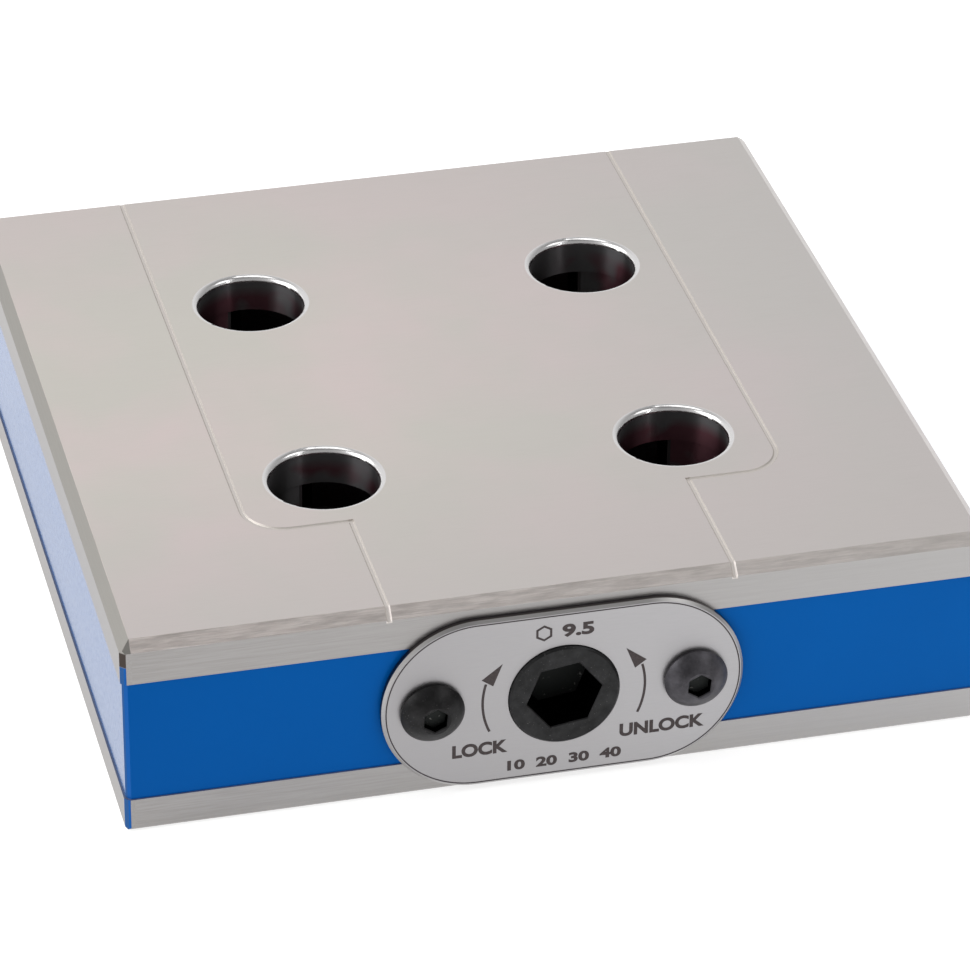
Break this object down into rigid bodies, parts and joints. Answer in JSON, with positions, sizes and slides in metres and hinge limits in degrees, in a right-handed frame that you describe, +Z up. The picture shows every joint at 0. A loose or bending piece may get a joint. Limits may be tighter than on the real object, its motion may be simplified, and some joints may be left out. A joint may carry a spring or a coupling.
{
  "type": "quick-change clamping module",
  "caption": "Square ground clamping plate with stud bores on a 52 mm square, closed by two slides that a front hexagon screw drives through a stepped wedge.",
  "frame": {"origin": "middle of the stud bore square, on the underside; the walls of the fixing holes and dowel bores start 0.5 mm above it, at their bevels", "axes": "+X right along the front, +Y from the front plate to the back, +Z up through the clamping face"},
  "size_m": [0.125, 0.129, 0.031],
  "materials": {
    "hardened_steel": "ground, with a blue painted band in a shallow recess round the sides",
    "stainless_plate": "fine brushed",
    "black_fastener": "black oxide",
    "black_screw": "black oxide",
    "bronze": "turned",
    "seal_rubber": "matt",
    "tool_steel": "ground",
    "black_steel": "black oxide, ground gripping faces",
    "cover_steel": "ground",
    "dowel_steel": "ground",
    "spring_wire": "drawn wire"
  },
  "bodies": {
    "housing": {"module_body": "hardened_steel", "front_plate": "stainless_plate", "front_plate_screw_left": "black_fastener", "front_plate_screw_right": "black_fastener", "bearing_bush": "bronze", "thrust_washer": "bronze", "return_spring_left_front": "spring_wire", "return_spring_left_rear": "spring_wire", "return_spring_right_front": "spring_wire", "return_spring_right_rear": "spring_wire", "bottom_cover": "cover_steel", "cover_gasket": "seal_rubber", "bottom_cover_screws": "black_fastener", "cover_dowel_left": "dowel_steel", "cover_dowel_right": "dowel_steel"},
    "screw": {"drive_screw": "black_screw", "seal_ring": "seal_rubber"},
    "wedge": {"drive_wedge": "tool_steel"},
    "left_slide": {"clamp_slide_left": "black_steel"},
    "right_slide": {"clamp_slide_right": "black_steel"}
  },
  "joints": [
    {"name": "screw_turn", "type": "hinge", "parent": "housing", "child": "screw", "pos_m": [0, -0.0625, 0.0144], "axis": [0, 1, 0], "range_deg": [0, 1151.6]},
    {"name": "wedge_pull", "type": "slide", "parent": "housing", "child": "wedge", "axis": [0, -1, 0], "range_m": [0, 0.0056]},
    {"name": "left_slide_out", "type": "slide", "parent": "housing", "child": "left_slide", "axis": [-1, 0, 0], "range_m": [0, 0.0015], "deforming": ["return_spring_left_front", "return_spring_left_rear"]},
    {"name": "right_slide_out", "type": "slide", "parent": "housing", "child": "right_slide", "axis": [1, 0, 0], "range_m": [0, 0.0015], "deforming": ["return_spring_right_front", "return_spring_right_rear"]}
  ],
  "couplings": [
    {"joint": "screw_turn", "follows": "wedge_pull", "rad_per_m": 3590.4},
    {"joint": "left_slide_out", "follows": "wedge_pull", "ratio": 0.26795},
    {"joint": "right_slide_out", "follows": "wedge_pull", "ratio": 0.26795}
  ]
}
